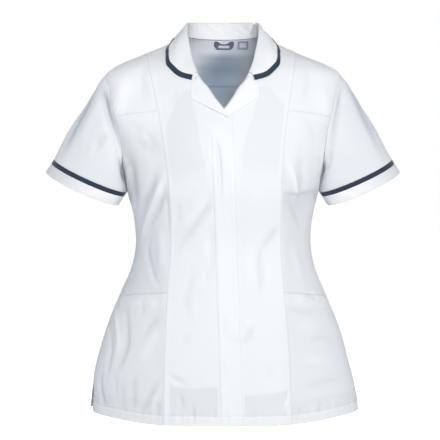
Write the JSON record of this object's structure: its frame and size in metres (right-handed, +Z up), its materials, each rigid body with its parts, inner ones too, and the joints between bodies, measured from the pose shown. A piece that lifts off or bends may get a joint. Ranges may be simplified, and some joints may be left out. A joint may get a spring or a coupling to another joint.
{
  "type": "work tunic",
  "caption": "Hollow short-sleeved work tunic, shown worn, with a turned-down collar, small lapels, hidden front fastening, side pockets and dark edging.",
  "frame": {"origin": "middle of the neck opening, level with the high points of the shoulders", "axes": "+Z up towards the wearer's head, -Y the way the wearer faces, -X the wearer's right"},
  "size_m": [0.6656, 0.2812, 0.7344],
  "materials": {
    "cloth": "matt white polyester-cotton poplin, fine plain weave",
    "edging": "matt dark navy woven edging",
    "tab": "dark slate woven tab with a satin face",
    "label": "pale plain label tape"
  },
  "bodies": {
    "root": {"back": "cloth", "back_yoke": "cloth", "centre_front_left": "cloth", "centre_front_right": "cloth", "collar": "cloth", "collar_edge": "edging", "cuff_left": "cloth", "cuff_right": "cloth", "fly_placket": "cloth", "lapel_left": "cloth", "lapel_right": "cloth", "neck_label": "label", "neck_tab": "tab", "pocket_left": "cloth", "pocket_right": "cloth", "side_front_left": "cloth", "side_front_right": "cloth", "side_front_top_left": "cloth", "side_front_top_right": "cloth", "sleeve_edge_left": "edging", "sleeve_edge_right": "edging", "sleeve_left": "cloth", "sleeve_right": "cloth"}
  },
  "joints": []
}
